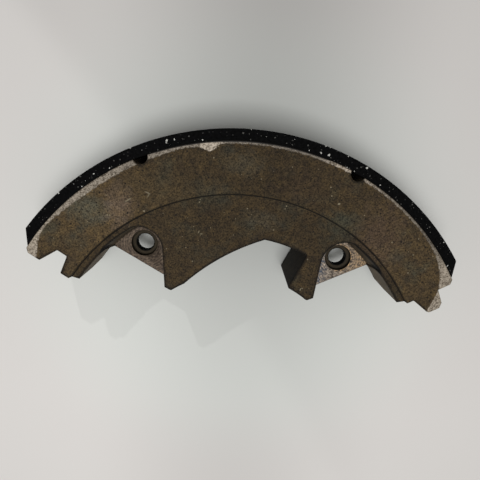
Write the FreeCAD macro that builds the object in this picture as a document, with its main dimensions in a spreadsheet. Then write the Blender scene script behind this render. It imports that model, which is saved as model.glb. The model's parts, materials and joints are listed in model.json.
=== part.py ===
import FreeCAD, Part
import math
import os
import re
import Sketcher

# Clutch shoe for a 12 inch drum: a cast iron shoe with a moulded friction lining bonded to its rim.
# Each body is drawn about the drum: the drum axis is its Z axis, the shoe's mid-line is its +Y axis
# and half of its depth lies on each side of the XY plane. Lengths are in millimetres and angles in
# degrees. An angle is measured from the mid-line, clockwise seen from above.

SIZES = {
    # Drum and lining
    "drum_radius": 152.4,
    "lining_thickness": 6.35,
    "lining_end_angle": 55.2,
    "lining_end_lean": 5.0,
    "lining_corner_round": 1.6,
    # Depth along the drum axis, the same for the casting and its lining
    "shoe_depth": 50.8,
    # Rim of the casting: its full-depth band, and the foot inside the step down to the web
    "end_angle": 59.8,
    "end_corner_chamfer": 2.2,
    "band_width": 29.75,
    "foot_width": 4.9,
    "rim_inner_bulge": 0.4,
    "web_recess": 1.5,
    "groove_radius": 4.2,
    "groove_angle": 24.8,
    # The foot stands back from the end faces, below the joint
    "foot_relief_below_joint": 4.4,
    "foot_relief_above": 1.2,
    "foot_relief_at_wall": 2.7,
    # Notch in the left end, by its width and its distance in from the rim's outer face
    "notch_depth": 11.0,
    "notch_mouth_below_rim": 9.85,
    "notch_mouth_width": 14.0,
    "notch_bottom_below_rim": 15.45,
    "notch_bottom_width": 6.4,
    # Tongue on the right end, which enters the notch of the next shoe
    "tongue_length": 11.0,
    "tongue_root_below_rim": 9.75,
    "tongue_root_width": 15.6,
    "tongue_tip_below_rim": 13.25,
    "tongue_tip_width": 6.5,
    "tongue_outer_shoulder": 2.5,
    "tongue_inner_shoulder": 1.2,
    # Cast rounds on the upright edges of the notch and the tongue
    "end_edge_round": 0.6,
    # Legs and the cut-out between them
    "web_over_cutout": 20.1,
    "leg_length": 22.7,
    "leg_tip_bevel_angle": 3.6,
    "leg_outer_lean": 5.8,
    "leg_edge_round": 1.3,
    "left_leg_span": 7.5,
    "right_leg_span": 11.8,
    "ramp_radius": 127.0,
    "ramp_top_angle": 7.8,
    # Lugs at mid-depth, with the pockets above and below them
    "lug_thickness": 9.5,
    "lug_edge_angle": 27.6,
    "lug_edge_land": 11.5,
    "bore_from_wall": 12.15,
    "bore_angle": 37.7,
    "bore_diameter": 10.7,
    "counterbore_diameter": 15.9,
    "counterbore_depth": 3.0,
    "pocket_round": 14.0,
    "pocket_nose": 0.65,
    "pocket_end_angle": 46.4,
    "pocket_draft": 7.0,
    # How far an outline that cuts, or that is buried in the rim, runs past its face
    "overrun": 12.0,
}

# Places worked out from the sizes. Radii are taken in steps from the drum's to the hub's. The lug's
# edge is a straight line, held by its direction and its distance from the drum axis. The leg's outer
# side is the line that touches the pocket's round. The tongue's inner corner, with its round, is the
# lowest place of the shoe.
PLACES = {
    "rim_radius": "drum_radius - lining_thickness",
    "step_radius": "rim_radius - band_width",
    "rim_inner_radius": "step_radius - foot_width",
    "bore_centre_radius": "rim_inner_radius - bore_from_wall",
    "cutout_radius": "rim_inner_radius - web_over_cutout",
    "leg_tip_radius": "cutout_radius - leg_length",
    "notch_mouth_outer": "rim_radius - notch_mouth_below_rim",
    "notch_mouth_inner": "notch_mouth_outer - notch_mouth_width",
    "notch_bottom_outer": "rim_radius - notch_bottom_below_rim",
    "notch_bottom_inner": "notch_bottom_outer - notch_bottom_width",
    "tongue_root_outer": "rim_radius - tongue_root_below_rim",
    "tongue_root_inner": "tongue_root_outer - tongue_root_width",
    "tongue_tip_outer": "rim_radius - tongue_tip_below_rim",
    "tongue_tip_inner": "tongue_tip_outer - tongue_tip_width",
    "web_height": "shoe_depth - 2 * web_recess",
    "lining_foot_angle": "lining_end_lean + asin(drum_radius"
                         " * sin(lining_end_angle - lining_end_lean) / rim_radius) / (1 deg)",
    "bore_x": "bore_centre_radius * sin(bore_angle)",
    "bore_y": "bore_centre_radius * cos(bore_angle)",
    "lug_line": "bore_y * cos(lug_edge_angle) - bore_x * sin(lug_edge_angle) - lug_edge_land",
    "lug_reach": "sqrt(step_radius ^ 2 - lug_line ^ 2)",
    "leg_line": "bore_x * cos(leg_outer_lean) - bore_y * sin(leg_outer_lean) - pocket_round",
    "leg_tip_angle": "leg_outer_lean + asin(leg_line / leg_tip_radius) / (1 deg) - leg_tip_bevel_angle",
    "left_leg_inner_angle": "leg_tip_angle - left_leg_span",
    "right_wall_angle": "leg_tip_angle - right_leg_span",
    "leg_corner_x": "(leg_line * cos(lug_edge_angle) + lug_line * sin(leg_outer_lean))"
                    " / cos(leg_outer_lean + lug_edge_angle)",
    "leg_corner_y": "(lug_line * cos(leg_outer_lean) + leg_line * sin(lug_edge_angle))"
                    " / cos(leg_outer_lean + lug_edge_angle)",
    "pocket_height": "(web_height - lug_thickness) / 2",
    "pocket_wall_radius": "bore_centre_radius + pocket_round - pocket_nose",
    "pocket_meet_angle": "bore_angle - acos((bore_centre_radius ^ 2 + pocket_wall_radius ^ 2"
                         " - pocket_round ^ 2) / (2 * bore_centre_radius * pocket_wall_radius)) / (1 deg)",
    "foot_relief_radius": "tongue_root_inner - foot_relief_below_joint",
    "tongue_low_y": "tongue_tip_inner * cos(end_angle) - tongue_length * sin(end_angle)"
                    " + end_edge_round * (sin(end_angle) + (sqrt(2) - 1) * cos(end_angle) - 1)",
    "lowest_y": "min(tongue_low_y; leg_tip_radius * cos(leg_tip_angle))",
    "datum_y": "(drum_radius + lowest_y) / 2",
    "datum_z": "shoe_depth / 2",
}

doc = FreeCAD.newDocument("clutch_shoe")
sheet = doc.addObject("Spreadsheet::Sheet", "Sizes")
for row, (name, value) in enumerate(list(SIZES.items()) + list(PLACES.items()), start=1):
    sheet.set(f"A{row}", name)
    sheet.set(f"B{row}", str(value) if name in SIZES else "=" + value)
    sheet.setAlias(f"B{row}", name)
doc.recompute()


def bound(formula):
    """The formula with each size's name pointing to its cell in the sheet."""
    def cell(word):
        name = word.group(0)
        return "Sizes." + name if name in SIZES or name in PLACES else name
    return re.sub(r"[a-z_]+", cell, formula)


def number(formula):
    """The present value of a formula."""
    value = sheet.evalExpression(bound(formula))
    return float(getattr(value, "Value", value))


def polar(radius, angle, side=1):
    """A point by its distance from the drum axis and its angle from the mid-line."""
    return f"{side} * ({radius}) * sin({angle})", f"({radius}) * cos({angle})"


def at_end(radius, out, side=1):
    """A point by its radius on the end face and its distance out from that face."""
    return (f"{side} * (({radius}) * sin(end_angle) + ({out}) * cos(end_angle))",
            f"({radius}) * cos(end_angle) - ({out}) * sin(end_angle)")


def origin_plane(body, role):
    return next(part for part in body.Origin.OriginFeatures if part.Role == role)


def new_sketch(body, name, role, height=None):
    sketch = body.newObject("Sketcher::SketchObject", name)
    sketch.AttachmentSupport = [(origin_plane(body, role), "")]
    sketch.MapMode = "FlatFace"
    if height:
        sketch.setExpression("AttachmentOffset.Base.z", bound(height))
    return sketch


def hold(sketch, kind, place, formula):
    """Adds a dimension whose value follows the sheet."""
    index = sketch.addConstraint(Sketcher.Constraint(kind, *place, number(formula)))
    sketch.setExpression(f"Constraints[{index}]", bound(formula))


def arc_through(start, end, radius, turn):
    """The shorter arc between two points: turn is 1 where it runs anticlockwise, -1 clockwise."""
    chord = end - start
    rise = math.sqrt(radius ** 2 - (chord.Length / 2) ** 2)
    left = FreeCAD.Vector(-chord.y, chord.x, 0).normalize()
    centre = (start + end) / 2 + left * (rise * turn)
    first, last = (start, end) if turn > 0 else (end, start)
    angles = [math.atan2(p.y - centre.y, p.x - centre.x) for p in (first, last)]
    circle = Part.Circle(centre, FreeCAD.Vector(0, 0, 1), radius)
    return Part.ArcOfCircle(circle, *angles)


def draw_outline(sketch, corners, arcs=None):
    """A closed outline. corners holds (x, y) formulas; arcs maps a corner to the radius and turn of
    the side that leaves it, and every other side is straight."""
    arcs = arcs or {}
    points = [FreeCAD.Vector(number(x), number(y), 0) for x, y in corners]
    count = len(points)
    ends = []
    for side in range(count):
        start, end = points[side], points[(side + 1) % count]
        if side in arcs:
            radius, turn = arcs[side]
            sketch.addGeometry(arc_through(start, end, number(radius), turn))
            ends.append((1, 2) if turn > 0 else (2, 1))
        else:
            sketch.addGeometry(Part.LineSegment(start, end))
            ends.append((1, 2))
    for side in range(count):
        after = (side + 1) % count
        sketch.addConstraint(Sketcher.Constraint("Coincident", side, ends[side][1], after, ends[after][0]))
        hold(sketch, "DistanceX", (-1, 1, side, ends[side][0]), corners[side][0])
        hold(sketch, "DistanceY", (-1, 1, side, ends[side][0]), corners[side][1])
    for side, (radius, turn) in arcs.items():
        hold(sketch, "Radius", (side,), radius)


def draw_circle(sketch, centre, radius):
    index = sketch.addGeometry(Part.Circle(
        FreeCAD.Vector(number(centre[0]), number(centre[1]), 0), FreeCAD.Vector(0, 0, 1), number(radius)))
    hold(sketch, "DistanceX", (-1, 1, index, 3), centre[0])
    hold(sketch, "DistanceY", (-1, 1, index, 3), centre[1])
    hold(sketch, "Radius", (index,), radius)


def new_feature(body, kind, name, profile, **settings):
    feature = body.newObject("PartDesign::" + kind, name)
    feature.Profile = profile
    for key, value in settings.items():
        if isinstance(value, str) and key in ("Length", "TaperAngle", "Angle"):
            feature.setExpression(key, bound(value))
        else:
            setattr(feature, key, value)
    profile.Visibility = False
    return feature


def ease_edges(body, kind, name, corners, size):
    """Rounds or chamfers the body's straight edges along Z that stand at the given corners."""
    places = [(number(x), number(y)) for x, y in corners]
    found = []
    for index, edge in enumerate(body.Shape.Edges, start=1):
        middle = (edge.Vertexes[0].Point + edge.Vertexes[-1].Point) / 2
        middle = body.Placement.inverse().multVec(middle)
        upright = abs(edge.Vertexes[0].Z - edge.Vertexes[-1].Z) > 0.99 * edge.Length
        if upright and any(math.hypot(middle.x - x, middle.y - y) < 0.05 for x, y in places):
            found.append(f"Edge{index}")
    if len(found) != len(places):
        raise RuntimeError(name + " found " + str(len(found)) + " edges")
    base = body.Tip
    feature = body.newObject("PartDesign::" + kind, name)
    feature.Base = (base, found)
    feature.setExpression("Radius" if kind == "Fillet" else "Size", bound(size))
    doc.recompute()


def new_body(label):
    body = doc.addObject("PartDesign::Body", label)
    body.Label = label
    body.setExpression("Placement.Base.y", bound("-datum_y"))
    body.setExpression("Placement.Base.z", bound("datum_z"))
    return body


def must_shrink(body, volume):
    """Stops the script if the last cut removed nothing."""
    doc.recompute()
    if body.Shape.Volume > volume - 1:
        raise RuntimeError("a cut in " + body.Label + " removed nothing")
    return body.Shape.Volume


# The rim: a ring sector, turned about the drum axis. Its side faces stand proud of the web, and its
# inner wall leans in from both faces to the mould's parting plane at mid-depth.
casting = new_body("shoe_casting")
section = new_sketch(casting, "rim_section", "YZ_Plane")
draw_outline(section, [
    ("rim_radius", "-shoe_depth / 2"),
    ("rim_radius", "shoe_depth / 2"),
    ("step_radius", "shoe_depth / 2"),
    ("step_radius", "web_height / 2"),
    ("rim_inner_radius", "web_height / 2"),
    ("rim_inner_radius - rim_inner_bulge", "0"),
    ("rim_inner_radius", "-web_height / 2"),
    ("step_radius", "-web_height / 2"),
    ("step_radius", "-shoe_depth / 2"),
])
rim = new_feature(casting, "Revolution", "rim", section, Angle="2 * end_angle", Midplane=True)
rim.ReferenceAxis = (section, ["V_Axis"])
doc.recompute()

# Small chamfers on the two outer corners of the rim's ends, beside the lining.
ease_edges(casting, "Chamfer", "end_chamfers", [
    polar("rim_radius", "end_angle", side) for side in (-1, 1)], "end_corner_chamfer")

# The web with its two legs. The left leg's inner side is a long hollow ramp, the right leg's is a
# flat wall on a radius of the drum, and the legs' tips lie on the hub's circle. Outside the legs the
# outline follows the straight edges of the lugs.
web_outline = new_sketch(casting, "web_outline", "XY_Plane")
lug_end = ("lug_reach * cos(lug_edge_angle) - lug_line * sin(lug_edge_angle)",
           "lug_reach * sin(lug_edge_angle) + lug_line * cos(lug_edge_angle)")
draw_outline(web_outline, [
    polar("leg_tip_radius", "left_leg_inner_angle", -1),
    polar("cutout_radius", "ramp_top_angle"),
    polar("cutout_radius", "right_wall_angle"),
    polar("leg_tip_radius", "right_wall_angle"),
    polar("leg_tip_radius", "leg_tip_angle"),
    ("leg_corner_x", "leg_corner_y"),
    lug_end,
    ("-1 * (" + lug_end[0] + ")", lug_end[1]),
    ("-leg_corner_x", "leg_corner_y"),
    polar("leg_tip_radius", "leg_tip_angle", -1),
], arcs={
    0: ("ramp_radius", -1),
    1: ("cutout_radius", -1),
    3: ("leg_tip_radius", -1),
    6: ("step_radius", 1),
    9: ("leg_tip_radius", -1),
})
new_feature(casting, "Pad", "web", web_outline, Length="web_height", SideType="Symmetric")
doc.recompute()
volume = casting.Shape.Volume

# Four pockets, two above and two below, leave each lug as a plate at mid-depth. Their walls have the
# mould's draft, so a pocket is widest at its mouth. One is cut and mirrored. It is round about the
# bore and runs out along the rim's inner wall.
pocket_outline = new_sketch(casting, "pocket_outline", "XY_Plane", "web_height / 2")
draw_outline(pocket_outline, [
    ("leg_corner_x - overrun * sin(leg_outer_lean)", "leg_corner_y - overrun * cos(leg_outer_lean)"),
    ("bore_x - pocket_round * cos(leg_outer_lean)", "bore_y + pocket_round * sin(leg_outer_lean)"),
    polar("pocket_wall_radius", "pocket_meet_angle"),
    polar("pocket_wall_radius", "pocket_end_angle"),
    polar("rim_inner_radius - overrun", "pocket_end_angle + pocket_draft"),
], arcs={
    1: ("pocket_round", -1),
    2: ("pocket_wall_radius", -1),
})
pocket = new_feature(casting, "Pocket", "pocket", pocket_outline, Length="pocket_height",
                     TaperAngle="-pocket_draft")
volume = must_shrink(casting, volume)
pockets = casting.newObject("PartDesign::MultiTransform", "four_pockets")
pockets.Originals = [pocket]
mirrors = []
for role in ("YZ_Plane", "XY_Plane"):
    mirror = doc.addObject("PartDesign::Mirrored", "pocket_mirror_" + role[:2].lower())
    mirror.MirrorPlane = (origin_plane(casting, role), [""])
    mirrors.append(mirror)
pockets.Transformations = mirrors
casting.Tip = pockets
volume = must_shrink(casting, volume)

# The foot of the rim stands a little back from both end faces.
relief_outline = new_sketch(casting, "relief_outline", "XY_Plane")
draw_outline(relief_outline, [
    at_end("foot_relief_radius", "-foot_relief_above"),
    at_end("rim_inner_radius", "-foot_relief_at_wall"),
    at_end("rim_inner_radius - overrun", "-foot_relief_at_wall"),
    at_end("rim_inner_radius - overrun", "overrun"),
    at_end("foot_relief_radius", "overrun"),
])
relief = new_feature(casting, "Pocket", "foot_relief", relief_outline, Type="ThroughAll",
                     SideType="Symmetric")
volume = must_shrink(casting, volume)
other_relief = casting.newObject("PartDesign::Mirrored", "other_foot_relief")
other_relief.Originals = [relief]
other_relief.MirrorPlane = (origin_plane(casting, "YZ_Plane"), [""])
casting.Tip = other_relief
volume = must_shrink(casting, volume)

# The notch, the tongue and the two half-round grooves under the lining run the full depth.
notch_outline = new_sketch(casting, "notch_outline", "XY_Plane")
notch_flare = "(notch_mouth_outer - notch_bottom_outer) / notch_depth * overrun"
draw_outline(notch_outline, [
    at_end("notch_bottom_outer", "-notch_depth", -1),
    at_end("notch_bottom_inner", "-notch_depth", -1),
    at_end("notch_mouth_inner", "0", -1),
    at_end("notch_mouth_inner", "overrun", -1),
    at_end("notch_mouth_outer + " + notch_flare, "overrun", -1),
])
new_feature(casting, "Pocket", "notch", notch_outline, Type="ThroughAll", SideType="Symmetric")
volume = must_shrink(casting, volume)

tongue_outline = new_sketch(casting, "tongue_outline", "XY_Plane")
draw_outline(tongue_outline, [
    at_end("tongue_root_outer", "-tongue_length / 2"),
    at_end("tongue_root_outer", "0"),
    at_end("tongue_tip_outer + tongue_outer_shoulder", "tongue_length - tongue_outer_shoulder"),
    at_end("tongue_tip_outer", "tongue_length"),
    at_end("tongue_tip_inner", "tongue_length"),
    at_end("tongue_tip_inner - tongue_inner_shoulder", "tongue_length - tongue_inner_shoulder"),
    at_end("tongue_root_inner", "0"),
    at_end("tongue_root_inner", "-tongue_length / 2"),
])
new_feature(casting, "Pad", "tongue", tongue_outline, Length="shoe_depth", SideType="Symmetric")
doc.recompute()

# The casting's rounds: the legs' tips, the notch's corners and the tongue's corners.
ease_edges(casting, "Fillet", "leg_rounds", [
    polar("leg_tip_radius", "left_leg_inner_angle", -1),
    polar("leg_tip_radius", "leg_tip_angle", -1),
    polar("leg_tip_radius", "right_wall_angle"),
    polar("leg_tip_radius", "leg_tip_angle"),
], "leg_edge_round")
ease_edges(casting, "Fillet", "end_rounds", [
    at_end("notch_mouth_outer", "0", -1),
    at_end("notch_bottom_outer", "-notch_depth", -1),
    at_end("notch_bottom_inner", "-notch_depth", -1),
    at_end("notch_mouth_inner", "0", -1),
    at_end("tongue_tip_outer + tongue_outer_shoulder", "tongue_length - tongue_outer_shoulder"),
    at_end("tongue_tip_outer", "tongue_length"),
    at_end("tongue_tip_inner", "tongue_length"),
    at_end("tongue_tip_inner - tongue_inner_shoulder", "tongue_length - tongue_inner_shoulder"),
], "end_edge_round")
volume = casting.Shape.Volume

groove_circles = new_sketch(casting, "groove_circles", "XY_Plane")
for side in (-1, 1):
    draw_circle(groove_circles, polar("rim_radius", "groove_angle", side), "groove_radius")
new_feature(casting, "Pocket", "grooves", groove_circles, Type="ThroughAll", SideType="Symmetric")
volume = must_shrink(casting, volume)

# A counterbored hole through each lug.
hole_centres = new_sketch(casting, "hole_centres", "XY_Plane", "lug_thickness / 2")
for side in (-1, 1):
    draw_circle(hole_centres, polar("bore_centre_radius", "bore_angle", side), "bore_diameter / 2")
doc.recompute()
holes = casting.newObject("PartDesign::Hole", "lug_holes")
holes.Profile = hole_centres
holes.DepthType = "ThroughAll"
holes.HoleCutType = "Counterbore"
for key, formula in (("Diameter", "bore_diameter"), ("HoleCutDiameter", "counterbore_diameter"),
                     ("HoleCutDepth", "counterbore_depth")):
    holes.setExpression(key, bound(formula))
hole_centres.Visibility = False
must_shrink(casting, volume)

# The friction lining: a moulded segment bonded to the rim, with ends cut nearly along the mid-line
# and its outer corners rounded.
lining = new_body("friction_lining")
lining_outline = new_sketch(lining, "lining_outline", "XY_Plane")
draw_outline(lining_outline, [
    polar("drum_radius", "lining_end_angle", -1),
    polar("drum_radius", "lining_end_angle"),
    polar("rim_radius", "lining_foot_angle"),
    polar("rim_radius", "lining_foot_angle", -1),
], arcs={
    0: ("drum_radius", -1),
    2: ("rim_radius", 1),
})
new_feature(lining, "Pad", "segment", lining_outline, Length="shoe_depth", SideType="Symmetric")
doc.recompute()
ease_edges(lining, "Fillet", "corner_rounds", [
    polar("drum_radius", "lining_end_angle", side) for side in (-1, 1)], "lining_corner_round")

for item in doc.Objects:
    if "Invalid" in item.State or "Error" in item.State:
        raise RuntimeError(item.Label + " failed")

os.makedirs("parts", exist_ok=True)
for body in (casting, lining):
    if body.Shape.isNull() or not body.Shape.isValid() or len(body.Shape.Solids) != 1:
        raise RuntimeError(body.Label + " is not one valid solid")
    body.Shape.exportStep(os.path.join("parts", body.Label + ".step"))
    box = body.Shape.BoundBox
    print(body.Label, round(body.Shape.Volume / 1000, 1), "cm3", [round(v, 2) for v in (
        box.XMin, box.XMax, box.YMin, box.YMax, box.ZMin, box.ZMax)])
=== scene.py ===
import json
import math

import bmesh
import bpy
from mathutils import Matrix, Vector


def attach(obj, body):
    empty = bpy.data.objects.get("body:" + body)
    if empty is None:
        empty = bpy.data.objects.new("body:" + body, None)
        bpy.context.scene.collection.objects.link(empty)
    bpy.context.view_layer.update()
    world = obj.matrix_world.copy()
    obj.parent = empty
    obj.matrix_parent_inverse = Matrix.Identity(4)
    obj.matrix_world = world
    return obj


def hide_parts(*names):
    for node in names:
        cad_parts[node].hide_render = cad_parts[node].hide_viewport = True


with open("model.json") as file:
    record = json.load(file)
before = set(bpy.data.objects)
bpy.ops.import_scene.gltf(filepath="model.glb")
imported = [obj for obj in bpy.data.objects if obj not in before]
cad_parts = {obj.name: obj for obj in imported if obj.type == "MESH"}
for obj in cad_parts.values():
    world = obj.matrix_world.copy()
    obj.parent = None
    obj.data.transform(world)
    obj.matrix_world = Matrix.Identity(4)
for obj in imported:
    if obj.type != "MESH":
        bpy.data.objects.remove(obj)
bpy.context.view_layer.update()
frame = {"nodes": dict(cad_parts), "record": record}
scene = bpy.context.scene

# Camera. The photo looks down on the shoe from above the lining's crown, tipped 12.7 degrees towards
# the legs. Place, axes and focal length come from fitting the drum's arcs and the upright edges.
MM = 0.001
CAMERA_PLACE = Vector((-8.097, 45.280, 313.381)) * MM
CAMERA_RIGHT = Vector((0.996808, 0.079670, 0.005135))
CAMERA_BACK = Vector((-0.022488, 0.218493, 0.975579))
FOCAL_PIXELS = 466.13
FRAME_PIXELS = 480
SENSOR = 36.0
NEAREST = 10 * MM

camera_data = bpy.data.cameras.new("photo_camera")
camera_data.sensor_width = SENSOR
camera_data.lens = FOCAL_PIXELS / FRAME_PIXELS * SENSOR
camera_data.clip_start = NEAREST
camera = bpy.data.objects.new("photo_camera", camera_data)
camera_up = CAMERA_BACK.cross(CAMERA_RIGHT)
camera.matrix_world = Matrix.Translation(CAMERA_PLACE) @ Matrix(
    (CAMERA_RIGHT, camera_up, CAMERA_BACK)).transposed().to_4x4()
scene.collection.objects.link(camera)
scene.camera = camera
scene.view_settings.view_transform = "Standard"


# Shoe casting. Grey iron, sand cast in one piece with its legs and lugs. It was dipped or left to
# colour to a dull bronze-brown coat, and only the band beside the lining and the lugs' faces were
# machined back to bare metal.
mounts = {mount["name"]: mount for mount in frame["record"]["mounts"]}
drum_face = mounts["friction_face"]
bore = mounts["right_bore"]
DRUM_AXIS_Y = drum_face["pos_m"][1] - drum_face["dims"]["r_mm"] * MM
SHOE_DEPTH = drum_face["dims"]["length_mm"] * MM
STEP_RADIUS = 116.3 * MM
BORE_X, BORE_Y = bore["pos_m"][:2]
BORE_RADIUS = bore["dims"]["r_mm"] * MM
COUNTERBORE_RADIUS = 7.95 * MM
COUNTERBORE_DEPTH = 3.0 * MM
LUG_TOP = bore["pos_m"][2] + bore["dims"]["length_mm"] * MM / 2 + COUNTERBORE_DEPTH
CAST_EDGE_ROUND = 0.55 * MM
JOIN_DISTANCE = 0.002 * MM
FLAT_ANGLE = math.radians(0.3)
SHARP_ANGLE = math.radians(32)


def linear(hex_colour):
    """An sRGB hex colour as linear red, green, blue and an alpha of 1."""
    parts = [int(hex_colour[i:i + 2], 16) / 255 for i in (1, 3, 5)]
    return tuple(c / 12.92 if c <= 0.04045 else ((c + 0.055) / 1.055) ** 2.4 for c in parts) + (1.0,)


def add_node(tree, kind, feeds=(), out=0, **settings):
    """Adds a shader node and returns one of its outputs. feeds holds pairs of an input's name or
    number and what goes into it, a value or another node's output; settings are its properties.
    A Mix node blends its inputs 2 and 3, or 6 and 7 where it blends colours."""
    node = tree.nodes.new(kind)
    for name, value in settings.items():
        setattr(node, name, value)
    for socket, value in feeds:
        if isinstance(value, bpy.types.NodeSocket):
            tree.links.new(value, node.inputs[socket])
        else:
            node.inputs[socket].default_value = value
    return node.outputs[out] if node.outputs else node


def cast_skin(name, cad_node, edge_round):
    """A copy of a CAD node with its corners joined and its flat faces made whole, so that a Bevel
    modifier can round its edges as a mould leaves them."""
    skin = bpy.data.objects.new(name, cad_node.data.copy())
    scene.collection.objects.link(skin)
    mesh = skin.data
    form = bmesh.new()
    form.from_mesh(mesh)
    bmesh.ops.remove_doubles(form, verts=form.verts, dist=JOIN_DISTANCE)
    bmesh.ops.dissolve_degenerate(form, edges=form.edges, dist=JOIN_DISTANCE)
    bmesh.ops.dissolve_limit(form, angle_limit=FLAT_ANGLE, verts=form.verts, edges=form.edges)
    form.to_mesh(mesh)
    form.free()
    mesh.shade_smooth()
    mesh.set_sharp_from_angle(angle=SHARP_ANGLE)
    rounding = skin.modifiers.new("edge_round", "BEVEL")
    rounding.width = edge_round
    rounding.segments = 2
    rounding.limit_method = "ANGLE"
    rounding.angle_limit = SHARP_ANGLE
    rounding.harden_normals = True
    rounding.use_clamp_overlap = False
    return skin


casting = cast_skin("casting", frame["nodes"]["shoe_casting"], CAST_EDGE_ROUND)

# Sand-cast grey iron with a dull bronze-brown coat: the eye sees a matt brown skin with a sandy grain,
# cloudy patches that turn greenish or ochre, and dark pores.
coat = bpy.data.materials.new("sand_cast_iron_brown_coat")
coat.use_nodes = True
tree = coat.node_tree
tree.nodes.clear()

# Where a place is: its radius and angle about the drum's axis, and its height over the bench.
place = add_node(tree, "ShaderNodeTexCoord", out="Object")
from_axis = add_node(tree, "ShaderNodeVectorMath", [(0, place), (1, (0, DRUM_AXIS_Y, 0))],
                     operation="SUBTRACT")
flat_place = add_node(tree, "ShaderNodeVectorMath", [(0, from_axis), (1, (1, 1, 0))],
                      operation="MULTIPLY")
radius = add_node(tree, "ShaderNodeVectorMath", [(0, flat_place)], out="Value", operation="LENGTH")
across = add_node(tree, "ShaderNodeSeparateXYZ", [(0, from_axis)])
along, height = across.node.outputs[1], across.node.outputs[2]
turn = add_node(tree, "ShaderNodeMath", [(0, across), (1, along)], operation="ARCTAN2")
facing = add_node(tree, "ShaderNodeNewGeometry", out="Normal")
upward = add_node(tree, "ShaderNodeSeparateXYZ", [(0, facing)], out=2)

# The angle as a share of the way from the notch's end to the tongue's.
FIRST_ANGLE = -60
LAST_ANGLE = 66
turn_share = add_node(tree, "ShaderNodeMapRange", [
    ("Value", turn), ("From Min", math.radians(FIRST_ANGLE)), ("From Max", math.radians(LAST_ANGLE))])


def by_angle(tree, stops, low, high):
    """A value that follows the angle round the drum, in straight runs between stops of degrees and
    value. The stops go from the first angle to the last, and all values lie between low and high."""
    curved = add_node(tree, "ShaderNodeFloatCurve", [("Value", turn_share)])
    curve = curved.node.mapping.curves[0]
    for angle, value in stops:
        stop = ((angle - FIRST_ANGLE) / (LAST_ANGLE - FIRST_ANGLE), (value - low) / (high - low))
        if angle == FIRST_ANGLE:
            curve.points[0].location = stop
        elif angle == LAST_ANGLE:
            curve.points[-1].location = stop
        else:
            curve.points.new(*stop)
    for point in curve.points:
        point.handle_type = "VECTOR"
    curved.node.mapping.update()
    return add_node(tree, "ShaderNodeMapRange", [("Value", curved), ("To Min", low), ("To Max", high)])


# Cloudy colour: brown between a dark and a pale tone, with greenish and ochre clouds over it.
BROWN_CLOUD = 5 * MM
GREEN_CLOUD = 15 * MM
OCHRE_CLOUD = 6 * MM
cloud = add_node(tree, "ShaderNodeTexNoise", [
    ("Vector", place), ("Scale", 1 / BROWN_CLOUD), ("Detail", 5.0), ("Roughness", 0.65)])
cloud_level = add_node(tree, "ShaderNodeMapRange", [("Value", cloud), ("From Min", 0.3), ("From Max", 0.7)])
brown = add_node(tree, "ShaderNodeMix", [
    ("Factor", cloud_level), (6, linear("#2a2218")), (7, linear("#433621"))], out=2, data_type="RGBA")
green_cloud = add_node(tree, "ShaderNodeTexNoise", [
    ("Vector", from_axis), ("Scale", 1 / GREEN_CLOUD), ("Detail", 3.0), ("Roughness", 0.6)])
green_level = add_node(tree, "ShaderNodeMapRange", [
    ("Value", green_cloud), ("From Min", 0.5), ("From Max", 0.7), ("To Max", 0.45)])
greened = add_node(tree, "ShaderNodeMix", [
    ("Factor", green_level), (6, brown), (7, linear("#2f322a"))], out=2, data_type="RGBA")
ochre_cloud = add_node(tree, "ShaderNodeTexNoise", [
    ("Vector", flat_place), ("Scale", 1 / OCHRE_CLOUD), ("Detail", 4.0), ("Roughness", 0.75)])
ochre_level = add_node(tree, "ShaderNodeMapRange", [
    ("Value", ochre_cloud), ("From Min", 0.55), ("From Max", 0.75), ("To Max", 0.4)])
ochred = add_node(tree, "ShaderNodeMix", [
    ("Factor", ochre_level), (6, greened), (7, linear("#4f412b"))], out=2, data_type="RGBA")

# Broad soft stains on the upper face. Each row holds a stain's middle and half sizes in millimetres,
# its strength and its colour. The brown clouds, whose mean is a half, make its border ragged. A stain
# or a mark fades with depth, so that it stays on the upper face.
STAINS = (
    (-90, -3, 13, 8, 0.5, "#383930"), (-72, 1, 9, 12, 0.45, "#574a3f"), (-3, 30, 12, 7, 0.35, "#524d3e"),
    (55, 1, 12, 7, 0.5, "#36372c"), (9, -2, 11, 6, 0.35, "#4b473a"), (-48, 12, 22, 9, 0.3, "#463b26"),
    (78, -6, 14, 20, 0.5, "#43352a"), (-20, 13, 14, 6, 0.35, "#38372c"), (30, 20, 16, 10, 0.35, "#3c2f22"))
STAIN_INNER = 0.3
STAIN_OUTER = 1.3
STAIN_RAGGED = 2.0
MARK_DEPTH = 10 * MM
stained = ochred
for x, y, half_x, half_y, strength, tone in STAINS:
    spread = add_node(tree, "ShaderNodeMapping", [
        ("Vector", place), ("Location", (x * MM, y * MM, SHOE_DEPTH)),
        ("Scale", (half_x * MM, half_y * MM, MARK_DEPTH))], vector_type="TEXTURE")
    spread = add_node(tree, "ShaderNodeVectorMath", [(0, spread)], out="Value", operation="LENGTH")
    spread = add_node(tree, "ShaderNodeMath", [(0, cloud), (1, STAIN_RAGGED), (2, spread)],
                      operation="MULTIPLY_ADD")
    stain = add_node(tree, "ShaderNodeMapRange", [
        ("Value", spread), ("From Min", STAIN_OUTER + STAIN_RAGGED / 2),
        ("From Max", STAIN_INNER + STAIN_RAGGED / 2), ("To Max", strength)])
    stained = add_node(tree, "ShaderNodeMix", [("Factor", stain), (6, stained), (7, linear(tone))],
                       out=2, data_type="RGBA")

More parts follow.
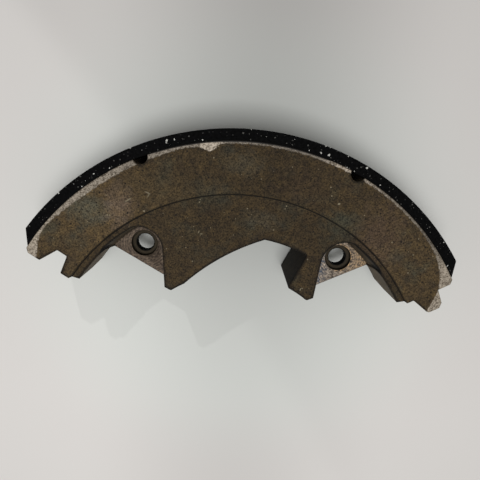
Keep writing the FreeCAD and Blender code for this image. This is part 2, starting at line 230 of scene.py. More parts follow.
# The coat is paler towards both ends of the rim than in its middle. Inside the step it is even.
WEB_LEVEL = 0.9
rim_level = by_angle(tree, (
    (FIRST_ANGLE, 1.3), (-50, 1.45), (-40, 1.72), (-30, 1.2), (-20, 1.03), (-8, 0.97), (8, 0.82),
    (20, 0.98), (34, 1.15), (44, 1.35), (LAST_ANGLE, 1.3)), 0.0, 2.0)
on_rim = add_node(tree, "ShaderNodeMath", [(0, radius), (1, STEP_RADIUS)], operation="GREATER_THAN")
coat_level = add_node(tree, "ShaderNodeMix", [("Factor", on_rim), (2, WEB_LEVEL), (3, rim_level)])

# Sand grain: the mould's sand is about 0.3 mm, drawn at 0.8 mm so that it shows.
GRAIN = 0.8 * MM
grain = add_node(tree, "ShaderNodeTexNoise", [
    ("Vector", place), ("Scale", 1 / GRAIN), ("Detail", 2.0), ("Roughness", 0.75)])
grain_level = add_node(tree, "ShaderNodeMapRange", [
    ("Value", grain), ("From Min", 0.3), ("From Max", 0.7), ("To Min", 0.1), ("To Max", 1.9)])
skin_level = add_node(tree, "ShaderNodeMath", [(0, grain_level), (1, coat_level)], operation="MULTIPLY")
grained = add_node(tree, "ShaderNodeVectorMath", [(0, stained), ("Scale", skin_level)], operation="SCALE")

# Pits and bare specks. Each cell of the pattern has a random colour, which says whether it holds a
# dark pit or a pale speck and how large that is, as a share of the cell.
SPOT_CELL = 1.6 * MM
PIT_SHARE = 0.18
PIT_REACH = 0.38
SPECK_SHARE = 0.06
SPECK_REACH = 0.28
spots = add_node(tree, "ShaderNodeTexVoronoi", [("Vector", place), ("Scale", 1 / SPOT_CELL)])
spot_pick = add_node(tree, "ShaderNodeSeparateColor", [(0, spots.node.outputs["Color"])])
pit_size = add_node(tree, "ShaderNodeMapRange", [
    ("Value", spot_pick), ("From Min", 1 - PIT_SHARE), ("To Max", PIT_REACH)])
pit = add_node(tree, "ShaderNodeMath", [(0, spots), (1, pit_size)], operation="LESS_THAN")
speck_size = add_node(tree, "ShaderNodeMapRange", [
    ("Value", spot_pick.node.outputs[1]), ("From Min", 1 - SPECK_SHARE), ("To Max", SPECK_REACH)])
speck = add_node(tree, "ShaderNodeMath", [(0, spots), (1, speck_size)], operation="LESS_THAN")
pitted = add_node(tree, "ShaderNodeMix", [("Factor", pit), (6, grained), (7, linear("#1c1711"))],
                  out=2, data_type="RGBA")
speckled = add_node(tree, "ShaderNodeMix", [("Factor", speck), (6, pitted), (7, linear("#746a56"))],
                    out=2, data_type="RGBA")

# Marks of handling on the upper face: pale scratches, knocks and a rust spot. Each row holds a mark's
# middle, half length and half width in millimetres, its turn in degrees and its colour.
HANDLING_MARKS = (
    (-67.1, 4.6, 2.4, 0.45, 35, "#6f6653"), (-56.2, 9.6, 1.8, 0.4, -20, "#6a6150"),
    (-55.6, 8.2, 1.6, 0.35, 60, "#625a48"), (-57.8, -1.0, 0.6, 0.5, 0, "#7d735e"),
    (-26.2, -11.0, 0.9, 0.35, 70, "#6c634f"), (-24.6, -12.0, 0.8, 0.35, 10, "#6c634f"),
    (52.4, 11.8, 0.8, 0.6, 20, "#7d735e"), (36.2, -41.2, 0.9, 0.35, 80, "#79705b"),
    (37.2, -40.4, 0.7, 0.35, 20, "#6c634f"), (-31.6, 38.0, 0.9, 1.2, 0, "#3d1d12"))
MARK_INNER = 0.6
MARK_OUTER = 1.2
marked = speckled
for x, y, half_long, half_wide, turned, tone in HANDLING_MARKS:
    reach = add_node(tree, "ShaderNodeMapping", [
        ("Vector", place), ("Location", (x * MM, y * MM, SHOE_DEPTH)),
        ("Rotation", (0, 0, math.radians(turned))),
        ("Scale", (half_long * MM, half_wide * MM, MARK_DEPTH))], vector_type="TEXTURE")
    reach = add_node(tree, "ShaderNodeVectorMath", [(0, reach)], out="Value", operation="LENGTH")
    mark = add_node(tree, "ShaderNodeMapRange", [
        ("Value", reach), ("From Min", MARK_OUTER), ("From Max", MARK_INNER)])
    marked = add_node(tree, "ShaderNodeMix", [("Factor", mark), (6, marked), (7, linear(tone))],
                      out=2, data_type="RGBA")

# Painted shade. Each level below is a factor on the coat's colour. The crease of the step, whose
# middle lies just inside it, is painted nearly black as shade.
CREASE_MIDDLE = STEP_RADIUS - 0.5 * MM
CREASE_HALF = 0.3 * MM
CREASE_REACH = 0.55 * MM
CREASE_SHADE_LEVEL = 0.05
flat_up = add_node(tree, "ShaderNodeMath", [(0, upward)], operation="ABSOLUTE")
is_flat = add_node(tree, "ShaderNodeMath", [(0, flat_up), (1, 0.5)], operation="GREATER_THAN")
from_step = add_node(tree, "ShaderNodeMath", [(0, radius), (1, CREASE_MIDDLE)], operation="SUBTRACT")
from_step = add_node(tree, "ShaderNodeMath", [(0, from_step)], operation="ABSOLUTE")
crease_shade_level = add_node(tree, "ShaderNodeMapRange", [
    ("Value", from_step), ("From Min", CREASE_HALF), ("From Max", CREASE_REACH), ("To Min", CREASE_SHADE_LEVEL)])

# The walls are painted dark as shade, darker still near the upper and lower faces, and darkest on the
# legs' walls. From there the walls grow greyer towards the feet, which lie further out, and are painted
# paler, until the feet's walls carry painted light.
WALL_EDGE = 3.5 * MM
WALL_FADE = 1.5 * MM
WALL_LEVEL = 0.8
WALL_EDGE_LEVEL = 0.3
LEG_WALL_RADIUS = 93.0 * MM
FOOT_WALL_RADIUS = 103.0 * MM
LEG_WALL_LEVEL = 0.5
FOOT_WALL_LEVEL = 4.4
rise = add_node(tree, "ShaderNodeMath", [(0, height), (1, SHOE_DEPTH / 2)], operation="SUBTRACT")
rise = add_node(tree, "ShaderNodeMath", [(0, rise)], operation="ABSOLUTE")
wall_shade_level = add_node(tree, "ShaderNodeMapRange", [
    ("Value", rise), ("From Min", SHOE_DEPTH / 2 - WALL_EDGE - WALL_FADE),
    ("From Max", SHOE_DEPTH / 2 - WALL_EDGE), ("To Min", WALL_LEVEL), ("To Max", WALL_EDGE_LEVEL)])
on_foot = add_node(tree, "ShaderNodeMapRange", [
    ("Value", radius), ("From Min", LEG_WALL_RADIUS), ("From Max", FOOT_WALL_RADIUS)])

# The pocket's wall beside the bore is browner than the foot's wall beyond the pocket, and gets more
# painted shade.
POCKET_REACH = 20.0 * MM
POCKET_FADE = 2.0 * MM
POCKET_SHARE = 0.45
side = add_node(tree, "ShaderNodeMath", [(0, across)], operation="ABSOLUTE")
half_place = add_node(tree, "ShaderNodeCombineXYZ", [(0, side), (1, along)])
to_bore = add_node(tree, "ShaderNodeVectorMath", [(0, half_place), (1, (BORE_X, BORE_Y - DRUM_AXIS_Y, 0))],
                   out="Value", operation="DISTANCE")
past_pocket = add_node(tree, "ShaderNodeMapRange", [
    ("Value", to_bore), ("From Min", POCKET_REACH), ("From Max", POCKET_REACH + POCKET_FADE)])
foot_share = add_node(tree, "ShaderNodeMapRange", [("Value", past_pocket), ("To Min", POCKET_SHARE)])
on_foot = add_node(tree, "ShaderNodeMath", [(0, on_foot), (1, foot_share)], operation="MULTIPLY")
foot_level = add_node(tree, "ShaderNodeMapRange", [
    ("Value", on_foot), ("To Min", LEG_WALL_LEVEL), ("To Max", FOOT_WALL_LEVEL)])
wall_shade_level = add_node(tree, "ShaderNodeMath", [(0, wall_shade_level), (1, foot_level)], operation="MULTIPLY")
slope_level = add_node(tree, "ShaderNodeMapRange", [
    ("Value", flat_up), ("From Min", 0.6), ("From Max", 0.995)])
painted_shade_level = add_node(tree, "ShaderNodeMix", [("Factor", slope_level), (2, wall_shade_level), (3, crease_shade_level)])

# A dark line of painted shade follows the cast edges, whose rounds turn away from the light. A look
# inwards finds them, because another face is close there. The line spares the flat faces beside the
# step, where the crease is drawn already, and most of the feet's walls.
EDGE_REACH = 2.2 * MM
EDGE_SHADE_LEVEL = 0.25
STEP_SPARED = 2.2 * MM
FOOT_SPARED = 0.75
from_edge = add_node(tree, "ShaderNodeAmbientOcclusion", [("Distance", EDGE_REACH)], out=1, samples=8,
                     inside=True, only_local=True)
edge_shade_level = add_node(tree, "ShaderNodeMapRange", [
    ("Value", from_edge), ("From Min", 0.76), ("From Max", 0.9), ("To Min", EDGE_SHADE_LEVEL)])
near_step = add_node(tree, "ShaderNodeMath", [(0, from_step), (1, STEP_SPARED)], operation="LESS_THAN")
near_step = add_node(tree, "ShaderNodeMath", [(0, near_step), (1, is_flat)], operation="MULTIPLY")
foot_wall = add_node(tree, "ShaderNodeMath", [(0, on_foot), (1, is_flat)], operation="SUBTRACT",
                     use_clamp=True)
spared = add_node(tree, "ShaderNodeMath", [(0, foot_wall), (1, FOOT_SPARED), (2, near_step)],
                  operation="MULTIPLY_ADD")
edge_shade_level = add_node(tree, "ShaderNodeMath", [(0, edge_shade_level), (1, spared)], operation="MAXIMUM")
painted_shade_level = add_node(tree, "ShaderNodeMath", [(0, painted_shade_level), (1, edge_shade_level)], operation="MULTIPLY")

# A long black spot of painted shadow sits at the outer end of each pocket, whose end face lies in shadow.
POCKET_END = (81.0 * MM, 77.3 * MM, 0)
POCKET_END_HALVES = (2.8 * MM, 1.0 * MM, MM)
POCKET_END_TURN = math.radians(-45)
POCKET_END_SHADOW_LEVEL = 0.02
to_pocket_end = add_node(tree, "ShaderNodeMapping", [
    ("Vector", half_place), ("Location", POCKET_END), ("Rotation", (0, 0, POCKET_END_TURN)),
    ("Scale", POCKET_END_HALVES)], vector_type="TEXTURE")
to_pocket_end = add_node(tree, "ShaderNodeVectorMath", [(0, to_pocket_end)], out="Value",
                         operation="LENGTH")
pocket_end_shadow_level = add_node(tree, "ShaderNodeMapRange", [
    ("Value", to_pocket_end), ("From Min", 0.7), ("From Max", 1.3), ("To Min", POCKET_END_SHADOW_LEVEL)])
painted_shade_level = add_node(tree, "ShaderNodeMath", [(0, painted_shade_level), (1, pocket_end_shadow_level)],
                      operation="MULTIPLY")

# A dark line of painted shadow follows the pocket's mouth, first round the bore and then, past the
# angle where the two meet, along the foot. It is fainter on the left.
POCKET_ROUND = 14.0 * MM
POCKET_WALL_RADIUS = 112.6 * MM
POCKET_MEET = math.radians(35.4)
MOUTH_HALF = 0.35 * MM
MOUTH_REACH = 0.75 * MM
LEFT_MOUTH_SHADOW_LEVEL = 0.5
RIGHT_MOUTH_SHADOW_LEVEL = 0.2
half_turn = add_node(tree, "ShaderNodeMath", [(0, turn)], operation="ABSOLUTE")
along_foot = add_node(tree, "ShaderNodeMath", [(0, half_turn), (1, POCKET_MEET)], operation="GREATER_THAN")
off_round = add_node(tree, "ShaderNodeMath", [(0, to_bore), (1, POCKET_ROUND)], operation="SUBTRACT")
off_wall = add_node(tree, "ShaderNodeMath", [(0, radius), (1, POCKET_WALL_RADIUS)], operation="SUBTRACT")
off_mouth = add_node(tree, "ShaderNodeMix", [("Factor", along_foot), (2, off_round), (3, off_wall)])
off_mouth = add_node(tree, "ShaderNodeMath", [(0, off_mouth)], operation="ABSOLUTE")
mouth_shadow_depth = add_node(tree, "ShaderNodeMapRange", [
    ("Value", across), ("From Min", -20 * MM), ("From Max", 0.0), ("To Min", LEFT_MOUTH_SHADOW_LEVEL),
    ("To Max", RIGHT_MOUTH_SHADOW_LEVEL)])
mouth_shadow_level = add_node(tree, "ShaderNodeMapRange", [
    ("Value", off_mouth), ("From Min", MOUTH_HALF), ("From Max", MOUTH_REACH), ("To Min", mouth_shadow_depth)])
mouth_shadow_level = add_node(tree, "ShaderNodeMath", [(0, mouth_shadow_level), (1, past_pocket)], operation="MAXIMUM")
painted_shade_level = add_node(tree, "ShaderNodeMath", [(0, painted_shade_level), (1, mouth_shadow_level)], operation="MULTIPLY")

# Under the painted shade, the coat on the feet's walls is greyer than elsewhere.
FOOT_GREY = 0.6
foot_grey = add_node(tree, "ShaderNodeMath", [(0, foot_wall), (1, FOOT_GREY)], operation="MULTIPLY")
greyed = add_node(tree, "ShaderNodeMix", [("Factor", foot_grey), (6, marked), (7, linear("#2f2b26"))],
                  out=2, data_type="RGBA")
shaded_coat = add_node(tree, "ShaderNodeVectorMath", [(0, greyed), ("Scale", painted_shade_level)], operation="SCALE")

# The band beside the lining, ground bare. Its inner border wanders with the angle round the drum.
# The stops give the border's radius in millimetres. Its ragged edge and the ground iron's grain are
# drawn coarse enough to show.
RAGGED = 1.6 * MM
RAGGED_DEPTH = 1.3
BAND_GRAIN = 0.9 * MM
border = by_angle(tree, (
    (FIRST_ANGLE, 138.0), (-58, 139.8), (-56, 142.6), (-53, 144.5), (-51, 144.5), (-48, 143.6),
    (-44, 142.7), (-38, 141.9), (-32, 142.3), (-22, 142.8), (-16, 143.8), (-11.8, 143.6), (-9.6, 140.6),
    (-8.6, 140.8), (-6.6, 144.1), (8, 144.0), (18, 144.0), (24, 144.2), (30, 144.4), (46, 144.5),
    (51, 143.9), (54, 142.3), (56, 140.9), (58, 138.5), (59.6, 136.5), (62.6, 129.1), (63.8, 126.1),
    (LAST_ANGLE, 121.0)), 120.0, 150.0)
ragged = add_node(tree, "ShaderNodeTexNoise", [
    ("Vector", place), ("Scale", 1 / RAGGED), ("Detail", 3.0), ("Roughness", 0.8)])
ragged_border = add_node(tree, "ShaderNodeMapRange", [
    ("Value", ragged), ("To Min", -RAGGED_DEPTH), ("To Max", RAGGED_DEPTH)])
ragged_border = add_node(tree, "ShaderNodeMath", [(0, ragged_border), (1, border)], operation="ADD")
past_border = add_node(tree, "ShaderNodeMath", [(0, ragged_border), (1, -MM), (2, radius)],
                       operation="MULTIPLY_ADD")
band_level = add_node(tree, "ShaderNodeMapRange", [
    ("Value", past_border), ("From Min", -0.15 * MM), ("From Max", 0.25 * MM)])
bare_band = add_node(tree, "ShaderNodeMath", [(0, band_level), (1, is_flat)], operation="MULTIPLY")
band_grain = add_node(tree, "ShaderNodeTexNoise", [
    ("Vector", place), ("Scale", 1 / BAND_GRAIN), ("Detail", 2.0), ("Roughness", 0.8)])
band_tone = add_node(tree, "ShaderNodeMapRange", [
    ("Value", band_grain), ("From Min", 0.36), ("From Max", 0.6)])
band_metal = add_node(tree, "ShaderNodeMix", [
    ("Factor", band_tone), (6, linear("#4d4336")), (7, linear("#a89d8e"))], out=2, data_type="RGBA")
band_bright = by_angle(tree, (
    (FIRST_ANGLE, 1.0), (-53, 1.0), (-48, 0.76), (-40, 0.66), (-32, 0.56), (-28, 0.4), (-20, 0.42),
    (-12, 0.38), (-10.8, 0.75), (-7, 0.7), (-6, 0.34), (8, 0.34), (16, 0.34), (20, 0.75), (23, 0.85),
    (27, 0.6), (40, 0.5), (48, 0.38), (52, 0.6), (56, 1.0), (LAST_ANGLE, 1.0)), 0.0, 2.0)
band_metal = add_node(tree, "ShaderNodeVectorMath", [(0, band_metal), ("Scale", band_bright)],
                      operation="SCALE")

# Along the middle, the last millimetre of the band beside the lining is dark.
LINING_MARGIN_FADE = 0.2 * MM
lining_margin_border = by_angle(tree, (
    (FIRST_ANGLE, 147.0), (-30, 146.4), (-21, 145.2), (-4, 145.0), (12, 145.1), (17, 145.3),
    (20, 146.5), (LAST_ANGLE, 147.0)), 120.0, 150.0)
past_lining_margin = add_node(tree, "ShaderNodeMath", [(0, lining_margin_border), (1, -MM), (2, radius)],
                     operation="MULTIPLY_ADD")
lining_margin_level = add_node(tree, "ShaderNodeMapRange", [
    ("Value", past_lining_margin), ("From Min", -LINING_MARGIN_FADE), ("From Max", LINING_MARGIN_FADE)])
band_metal = add_node(tree, "ShaderNodeMix", [
    ("Factor", lining_margin_level), (6, band_metal), (7, linear("#141210"))], out=2, data_type="RGBA")

# The lugs' faces, spot-faced round the bores: cutter rings, which are finer than a pixel, drawn
# 1.5 mm apart and bent by a noise, and stained metal between a dark and a pale tone.
FACE_GAP = 0.3 * MM
BORE_GAP = 0.25 * MM
RING_SPACING = 1.5 * MM
RING_WANDER = 3 * MM
RING_SHIFT = 9.0
RING_DEPTH = 0.5
TINT_CLOUD = 1.6 * MM
off_bore = add_node(tree, "ShaderNodeMath", [(0, to_bore), (1, COUNTERBORE_RADIUS + BORE_GAP)],
                    operation="GREATER_THAN")
at_lug = add_node(tree, "ShaderNodeMath", [(0, rise), (1, LUG_TOP - SHOE_DEPTH / 2 + FACE_GAP)],
                  operation="LESS_THAN")
bare_lug = add_node(tree, "ShaderNodeMath", [(0, at_lug), (1, is_flat)], operation="MULTIPLY")
bare_lug = add_node(tree, "ShaderNodeMath", [(0, bare_lug), (1, off_bore)], operation="MULTIPLY")
wander = add_node(tree, "ShaderNodeTexNoise", [
    ("Vector", place), ("Scale", 1 / RING_WANDER), ("Detail", 2.0)])
ring_turn = add_node(tree, "ShaderNodeMath", [(0, to_bore), (1, math.tau / RING_SPACING)],
                     operation="MULTIPLY")
ring_turn = add_node(tree, "ShaderNodeMath", [(0, wander), (1, RING_SHIFT), (2, ring_turn)],
                     operation="MULTIPLY_ADD")
ring = add_node(tree, "ShaderNodeMath", [(0, ring_turn)], operation="SINE")
ring_depth = add_node(tree, "ShaderNodeMapRange", [
    ("Value", wander), ("From Min", 0.35), ("From Max", 0.65), ("To Max", RING_DEPTH)])
ring_level = add_node(tree, "ShaderNodeMath", [(0, ring), (1, ring_depth), (2, 1.0)],
                      operation="MULTIPLY_ADD")
tint = add_node(tree, "ShaderNodeTexNoise", [
    ("Vector", place), ("Scale", 1 / TINT_CLOUD), ("Detail", 4.0), ("Roughness", 0.75)])
tint_level = add_node(tree, "ShaderNodeMapRange", [("Value", tint), ("From Min", 0.37), ("From Max", 0.66)])
left_tint = add_node(tree, "ShaderNodeMix", [
    ("Factor", tint_level), (6, linear("#2b231d")), (7, linear("#5a4d40"))], out=2, data_type="RGBA")
right_tint = add_node(tree, "ShaderNodeMix", [
    ("Factor", tint_level), (6, linear("#241f1a")), (7, linear("#8c8073"))], out=2, data_type="RGBA")

# Painted glints on the right lug: straw towards its outer corner and round the counterbore, blue
# towards the leg. Each is a pair of distances, where the glint begins and where it is full.
STRAW_GLINT_OUT = (1 * MM, 18 * MM)
GLINT_OFF_BORE = (COUNTERBORE_RADIUS + 2.0 * MM, COUNTERBORE_RADIUS + 0.4 * MM)
GLINT_OUT = (-5 * MM, 3 * MM)
BLUE_GLINT_IN = (-4 * MM, -14 * MM)
off_middle = add_node(tree, "ShaderNodeMath", [(0, across), (1, BORE_X)], operation="SUBTRACT")
straw_glint = add_node(tree, "ShaderNodeMapRange", [
    ("Value", off_middle), ("From Min", STRAW_GLINT_OUT[0]), ("From Max", STRAW_GLINT_OUT[1])])
straw_glint_cloud = add_node(tree, "ShaderNodeMapRange", [
    ("Value", tint), ("From Min", 0.42), ("From Max", 0.6), ("To Max", 0.8)])
bore_glint = add_node(tree, "ShaderNodeMapRange", [
    ("Value", to_bore), ("From Min", GLINT_OFF_BORE[0]), ("From Max", GLINT_OFF_BORE[1])])
glint_side = add_node(tree, "ShaderNodeMapRange", [
    ("Value", off_middle), ("From Min", GLINT_OUT[0]), ("From Max", GLINT_OUT[1])])
bore_glint = add_node(tree, "ShaderNodeMath", [(0, bore_glint), (1, glint_side)], operation="MULTIPLY")
straw_glint = add_node(tree, "ShaderNodeMath", [(0, straw_glint), (1, bore_glint)], operation="MAXIMUM")
straw_glint = add_node(tree, "ShaderNodeMath", [(0, straw_glint), (1, straw_glint_cloud)], operation="MULTIPLY")
straw_glinted = add_node(tree, "ShaderNodeMix", [
    ("Factor", straw_glint), (6, right_tint), (7, linear("#9a7a4e"))], out=2, data_type="RGBA")
blue_glint = add_node(tree, "ShaderNodeMapRange", [
    ("Value", off_middle), ("From Min", BLUE_GLINT_IN[0]), ("From Max", BLUE_GLINT_IN[1])])
blue_glint_cloud = add_node(tree, "ShaderNodeMapRange", [("Value", tint), ("From Min", 0.55), ("From Max", 0.42)])
blue_glint = add_node(tree, "ShaderNodeMath", [(0, blue_glint), (1, blue_glint_cloud)], operation="MULTIPLY")
glint_tint = add_node(tree, "ShaderNodeMix", [
    ("Factor", blue_glint), (6, straw_glinted), (7, linear("#3a4655"))], out=2, data_type="RGBA")
on_right = add_node(tree, "ShaderNodeMath", [(0, across), (1, 0.0)], operation="GREATER_THAN")
lug_metal = add_node(tree, "ShaderNodeMix", [("Factor", on_right), (6, left_tint), (7, glint_tint)],
                     out=2, data_type="RGBA")
lug_metal = add_node(tree, "ShaderNodeVectorMath", [(0, lug_metal), ("Scale", ring_level)],
                     operation="SCALE")

# Inside a bore the wall is painted black as shade. The counterbore's wall is brown and painted darker
# than its floor as shade.
BORE_RIM = 0.4 * MM
in_bore = add_node(tree, "ShaderNodeMath", [(0, to_bore), (1, BORE_RADIUS + BORE_RIM)],
                   operation="LESS_THAN")
cut_tone = add_node(tree, "ShaderNodeMix", [
    ("Factor", is_flat), (6, linear("#241e17")), (7, linear("#332c21"))], out=2, data_type="RGBA")
cut_tone = add_node(tree, "ShaderNodeVectorMath", [(0, cut_tone), ("Scale", ring_level)],
                    operation="SCALE")
bore_shaded_tone = add_node(tree, "ShaderNodeMix", [
    ("Factor", in_bore), (6, cut_tone), (7, linear("#070605"))], out=2, data_type="RGBA")

# The coat, the bare band, the bare lugs and the cut bores together. Bare iron, dulled by handling, is
# half as metallic as clean metal and smoother than the coat.
COAT_ROUGHNESS = 0.82
BARE_ROUGHNESS = 0.45
BARE_METALLIC = 0.5
GRAIN_HEIGHT = 0.15 * MM
with_band = add_node(tree, "ShaderNodeMix", [("Factor", bare_band), (6, shaded_coat), (7, band_metal)],
                     out=2, data_type="RGBA")
with_lugs = add_node(tree, "ShaderNodeMix", [("Factor", bare_lug), (6, with_band), (7, lug_metal)],
                     out=2, data_type="RGBA")
colour = add_node(tree, "ShaderNodeMix", [("Factor", off_bore), (6, bore_shaded_tone), (7, with_lugs)],
                  out=2, data_type="RGBA")
bare = add_node(tree, "ShaderNodeMath", [(0, bare_band), (1, bare_lug)], operation="MAXIMUM")
metalness = add_node(tree, "ShaderNodeMath", [(0, bare), (1, BARE_METALLIC)], operation="MULTIPLY")
roughness = add_node(tree, "ShaderNodeMapRange", [
    ("Value", bare), ("To Min", COAT_ROUGHNESS), ("To Max", BARE_ROUGHNESS)])
grain_bump = add_node(tree, "ShaderNodeBump", [
    ("Strength", 0.6), ("Distance", GRAIN_HEIGHT), ("Height", grain)])
surface = add_node(tree, "ShaderNodeBsdfPrincipled", [
    ("Base Color", colour), ("Metallic", metalness), ("Roughness", roughness),
    ("Specular IOR Level", 0.2), ("Normal", grain_bump)])
add_node(tree, "ShaderNodeOutputMaterial", [("Surface", surface)])

casting.data.materials.clear()
casting.data.materials.append(coat)
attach(casting, "root")
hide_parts("shoe_casting")


# Friction lining. A moulded segment of phenolic resin with mineral fibre and metal chips, bonded to
# the rim and ground to the drum's radius. It is black and matt with pale flecks.
LINING_EDGE_ROUND = 0.25 * MM
MATRIX_GRAIN = 1.5 * MM
MATRIX_HEIGHT = 0.1 * MM
LINING_ROUGHNESS = 0.85

lining = cast_skin("lining", frame["nodes"]["friction_lining"], LINING_EDGE_ROUND)

# Moulded friction compound: the eye sees a matt black matrix with pale flecks. The matrix's own grain
# is finer than a pixel, so it is drawn at 1.5 mm.
compound = bpy.data.materials.new("moulded_friction_compound")
compound.use_nodes = True
tree = compound.node_tree
tree.nodes.clear()
place = add_node(tree, "ShaderNodeTexCoord", out="Object")
matrix = add_node(tree, "ShaderNodeTexNoise", [
    ("Vector", place), ("Scale", 1 / MATRIX_GRAIN), ("Detail", 4.0), ("Roughness", 0.7)])
matrix_level = add_node(tree, "ShaderNodeMapRange", [
    ("Value", matrix), ("From Min", 0.35), ("From Max", 0.7)])
flecked = add_node(tree, "ShaderNodeMix", [
    ("Factor", matrix_level), (6, linear("#010101")), (7, linear("#0a0a0b"))], out=2, data_type="RGBA")

# The side faces are as moulded. The face towards the drum is ground, so it is greyer and its chips
# are duller.
GROUND_CHIPS = 0.35
lining_facing = add_node(tree, "ShaderNodeNewGeometry", out="Normal")
lining_upward = add_node(tree, "ShaderNodeSeparateXYZ", [(0, lining_facing)], out=2)
lining_flat = add_node(tree, "ShaderNodeMath", [(0, lining_upward)], operation="ABSOLUTE")
ground = add_node(tree, "ShaderNodeMapRange", [
    ("Value", lining_flat), ("From Min", 0.7), ("From Max", 0.3)])
flecked = add_node(tree, "ShaderNodeMix", [
    ("Factor", ground), (6, flecked), (7, linear("#171615"))], out=2, data_type="RGBA")
chip_level = add_node(tree, "ShaderNodeMapRange", [
    ("Value", ground), ("To Min", 1.0), ("To Max", GROUND_CHIPS)])

# Chips of fibre and metal in two sizes: cells of the pattern hold one chip each, and the cell's random
# colour says which cells have one and how large it is. A fine noise bends the chips out of round. Each
# row holds the cell's size, the share of cells with a chip, the largest chip and its colour.
CHIPS = ((2.2 * MM, 0.17, 0.3, "#b0afa9"), (1.1 * MM, 0.24, 0.36, "#4a4946"))
SHAKE = 1.0 * MM
SHAKE_REACH = 1.2 * MM
shake = add_node(tree, "ShaderNodeTexNoise", [
    ("Vector", place), ("Scale", 1 / SHAKE), ("Detail", 1.0)], out="Color")
bent_place = add_node(tree, "ShaderNodeVectorMath", [(0, shake), (1, (SHAKE_REACH,) * 3), (2, place)],
                      operation="MULTIPLY_ADD")
for cell, share, reach, tone in CHIPS:
    flecks = add_node(tree, "ShaderNodeTexVoronoi", [("Vector", bent_place), ("Scale", 1 / cell)])
    fleck_pick = add_node(tree, "ShaderNodeSeparateColor", [(0, flecks.node.outputs["Color"])])
    fleck_size = add_node(tree, "ShaderNodeMapRange", [
        ("Value", fleck_pick), ("From Min", 1 - share), ("To Max", reach)])
    fleck_level = add_node(tree, "ShaderNodeMath", [(0, flecks), (1, fleck_size)], operation="LESS_THAN")
    fleck_level = add_node(tree, "ShaderNodeMath", [(0, fleck_level), (1, chip_level)],
                           operation="MULTIPLY")
    flecked = add_node(tree, "ShaderNodeMix", [("Factor", fleck_level), (6, flecked), (7, linear(tone))],
                       out=2, data_type="RGBA")
matrix_bump = add_node(tree, "ShaderNodeBump", [
    ("Strength", 0.5), ("Distance", MATRIX_HEIGHT), ("Height", matrix)])
surface = add_node(tree, "ShaderNodeBsdfPrincipled", [
    ("Base Color", flecked), ("Roughness", LINING_ROUGHNESS), ("Specular IOR Level", 0.06),
    ("Normal", matrix_bump)])
add_node(tree, "ShaderNodeOutputMaterial", [("Surface", surface)])
lining.data.materials.clear()
lining.data.materials.append(compound)
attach(lining, "root")
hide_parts("friction_lining")


# Bench. A plain pale painted board under the shoe, with a broad faint painted shadow down its middle,
# painted shade over its far side and a little painted light near the shoe.
BENCH_HALF = 8.0
STRIPE_MIDDLE = 10 * MM
STRIPE_HALF = 125 * MM
SHADE_HALF = 150 * MM
NEAR_SHOE = (0, -30 * MM, 0)
NEAR_TONE_REACH = 90 * MM
OUTER_TONE_REACH = 190 * MM
bench_mesh = bpy.data.meshes.new("bench")
bench_mesh.from_pydata([(-BENCH_HALF, -BENCH_HALF, 0), (BENCH_HALF, -BENCH_HALF, 0),
                        (BENCH_HALF, BENCH_HALF, 0), (-BENCH_HALF, BENCH_HALF, 0)], [], [(0, 1, 2, 3)])
bench = bpy.data.objects.new("bench", bench_mesh)
scene.collection.objects.link(bench)

# Painted board: the eye sees an even pale grey. Its slow changes of tone are painted light and shade by
# place.
board = bpy.data.materials.new("pale_painted_board")
board.use_nodes = True
tree = board.node_tree
tree.nodes.clear()
place = add_node(tree, "ShaderNodeTexCoord", out="Object")
board_x = add_node(tree, "ShaderNodeSeparateXYZ", [(0, place)])
board_y = board_x.node.outputs[1]
# A broad painted shadow down the middle, deeper on the far side, and painted light on the near side fading
# to painted shade on the far side.
off_stripe = add_node(tree, "ShaderNodeMath", [(0, board_x), (1, STRIPE_MIDDLE)], operation="SUBTRACT")
off_stripe = add_node(tree, "ShaderNodeMath", [(0, off_stripe)], operation="ABSOLUTE")
stripe = add_node(tree, "ShaderNodeMapRange", [
    ("Value", off_stripe), ("From Max", STRIPE_HALF), ("To Min", 1.0), ("To Max", 0.0)],
    interpolation_type="SMOOTHSTEP")
fade = add_node(tree, "ShaderNodeMapRange", [
    ("Value", board_y), ("From Min", -SHADE_HALF), ("From Max", SHADE_HALF)])
stripe_depth = add_node(tree, "ShaderNodeMapRange", [("Value", fade), ("To Min", 0.17), ("To Max", 0.3)])
stripe_level = add_node(tree, "ShaderNodeMath", [(0, stripe), (1, stripe_depth)], operation="MULTIPLY")
shade = add_node(tree, "ShaderNodeMapRange", [("Value", fade), ("To Min", 1.1), ("To Max", 0.96)])
shade = add_node(tree, "ShaderNodeMath", [(0, shade), (1, stripe_level)], operation="SUBTRACT")
# Near the shoe the board is painted paler and cooler, a painted light against the shade round the shoe.
from_shoe = add_node(tree, "ShaderNodeVectorMath", [(0, place), (1, NEAR_SHOE)], out="Value",
                     operation="DISTANCE")
outer = add_node(tree, "ShaderNodeMapRange", [
    ("Value", from_shoe), ("From Min", NEAR_TONE_REACH), ("From Max", OUTER_TONE_REACH)],
    interpolation_type="SMOOTHSTEP")
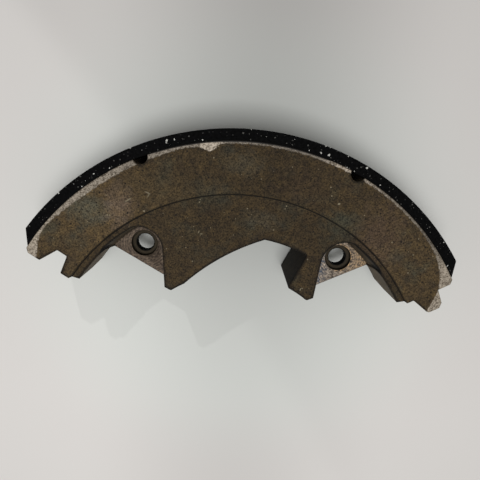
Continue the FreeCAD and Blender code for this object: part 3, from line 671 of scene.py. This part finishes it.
board_tone = add_node(tree, "ShaderNodeMix", [
    ("Factor", outer), (6, linear("#d1d3cf")), (7, linear("#d0cdca"))], out=2, data_type="RGBA")
board_tone = add_node(tree, "ShaderNodeVectorMath", [(0, board_tone), ("Scale", shade)],
                      operation="SCALE")
surface = add_node(tree, "ShaderNodeBsdfPrincipled", [
    ("Base Color", board_tone), ("Roughness", 0.8), ("Specular IOR Level", 0.2)])
add_node(tree, "ShaderNodeOutputMaterial", [("Surface", surface)])
bench_mesh.materials.append(board)


# Light. An even sky, a broad ceiling lamp nearly overhead and a little in front, and a small spot from
# the back left that draws the faint hard shadow. The spot's pool of light covers the left of the board
# and ends on a slant.
SKY_STRENGTH = 0.43
CEILING_PLACE = Vector((0.0, -0.12, 0.95))
CEILING_AIM = Vector((0, 0, 20 * MM))
CEILING_SIZE = 0.35
CEILING_POWER = 5.2
BACK_PLACE = Vector((-0.36, 0.92, 0.85))
BACK_AIM = Vector((-0.701, -0.996, 0))
BACK_ANGLE = math.radians(60.5)
BACK_BLEND = 0.06
BACK_RADIUS = 8 * MM
BACK_POWER = 7.5

sky = bpy.data.worlds.new("studio")
sky.use_nodes = True
sky.node_tree.nodes["Background"].inputs["Color"].default_value = linear("#fbfaf8")
sky.node_tree.nodes["Background"].inputs["Strength"].default_value = SKY_STRENGTH
scene.world = sky


def add_lamp(name, kind, place, aim, power):
    """Puts a lamp at a place, turned towards a point, and returns its light."""
    light = bpy.data.lights.new(name, kind)
    light.energy = power
    lamp = bpy.data.objects.new(name, light)
    lamp.location = place
    lamp.rotation_euler = (place - aim).to_track_quat("Z", "Y").to_euler()
    scene.collection.objects.link(lamp)
    return light


ceiling_light = add_lamp("ceiling_lamp", "AREA", CEILING_PLACE, CEILING_AIM, CEILING_POWER)
ceiling_light.size = CEILING_SIZE
back_light = add_lamp("back_lamp", "SPOT", BACK_PLACE, BACK_AIM, BACK_POWER)
back_light.spot_size = BACK_ANGLE
back_light.spot_blend = BACK_BLEND
back_light.shadow_soft_size = BACK_RADIUS
